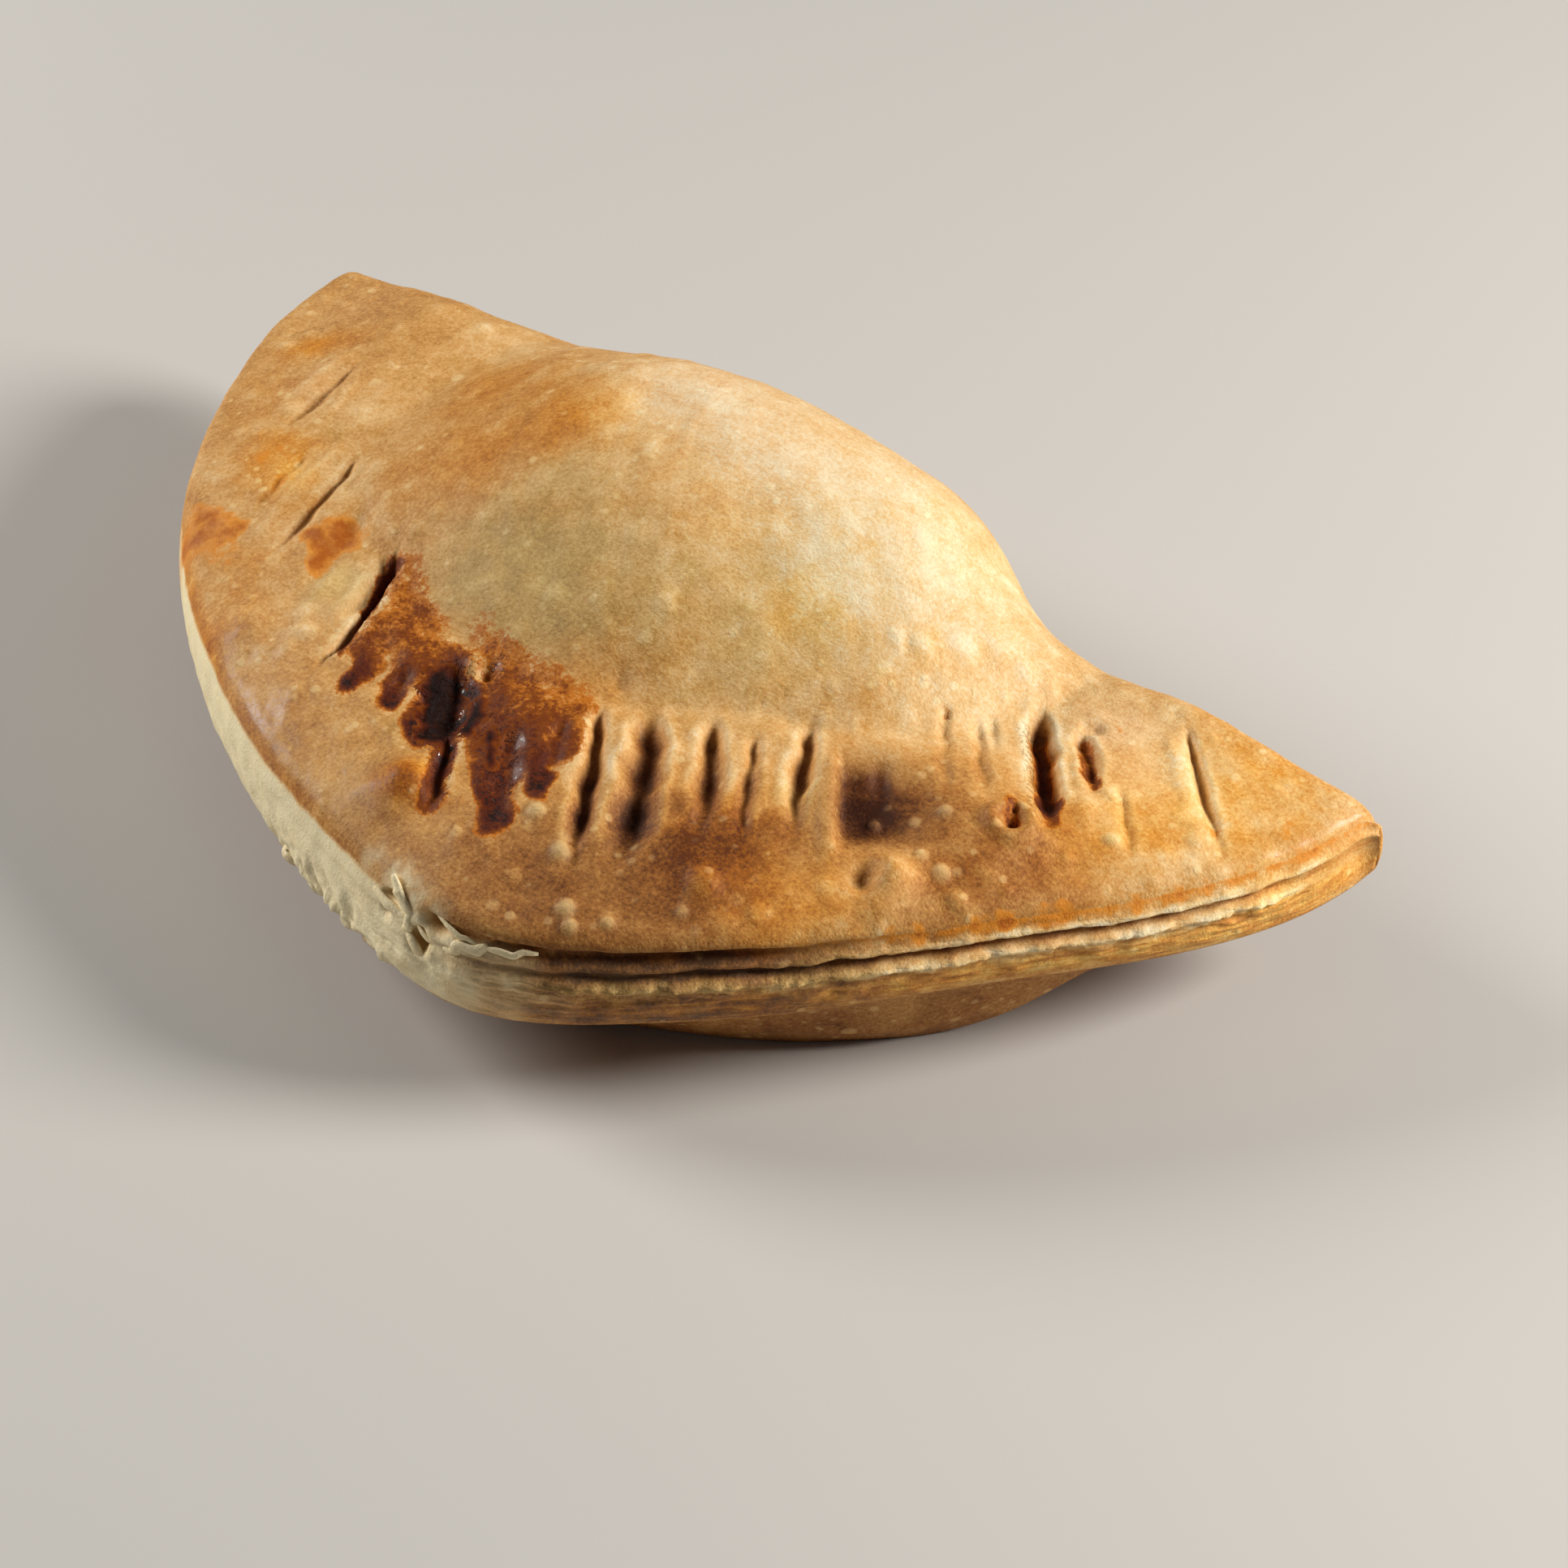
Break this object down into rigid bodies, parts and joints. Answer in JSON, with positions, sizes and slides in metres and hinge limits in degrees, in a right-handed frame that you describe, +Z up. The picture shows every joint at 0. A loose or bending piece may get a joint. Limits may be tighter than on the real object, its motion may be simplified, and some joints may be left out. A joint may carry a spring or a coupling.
{
  "type": "empanada",
  "caption": "Baked half-moon turnover: a round of dough folded over its filling, with a fork-pressed curved edge, a raised dome and a burst of leaked filling.",
  "frame": {"origin": "middle of the bounding box in plan, on the ground that it lies on", "axes": "+X from the left tip to the right tip along the fold, +Y from the curved edge to the folded edge, +Z up"},
  "size_m": [0.141, 0.0808, 0.0379],
  "materials": {
    "crust": "baked golden-tan crust, satin with floury matt patches, scorched and glossy where filling leaked"
  },
  "bodies": {
    "root": {"pastry": "crust"}
  },
  "joints": []
}
